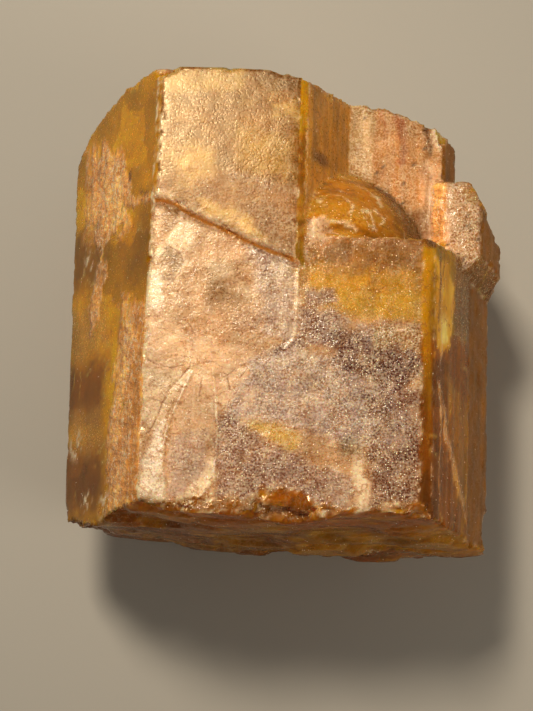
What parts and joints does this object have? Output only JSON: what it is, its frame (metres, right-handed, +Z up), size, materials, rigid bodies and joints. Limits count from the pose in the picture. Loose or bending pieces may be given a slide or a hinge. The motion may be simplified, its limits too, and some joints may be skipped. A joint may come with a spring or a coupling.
{
  "type": "heliodor specimen",
  "caption": "Broken six-sided crystal of clear golden beryl, grown as stepped parallel blocks, lying on a prism face as a display specimen.",
  "frame": {"origin": "centre of the bounding box at the bottom, on the prism face that the crystal rests on", "axes": "+Y along the crystal's long axis towards its worn end, +Z up out of the top prism face, +X to the right seen from the broken front end"},
  "size_m": [0.0694, 0.0712, 0.0479],
  "materials": {
    "golden_beryl": "see-through amber beryl, frosted and stained on its growth faces, glassy where it is broken"
  },
  "bodies": {
    "root": {"heliodor_crystal": "golden_beryl"}
  },
  "joints": []
}
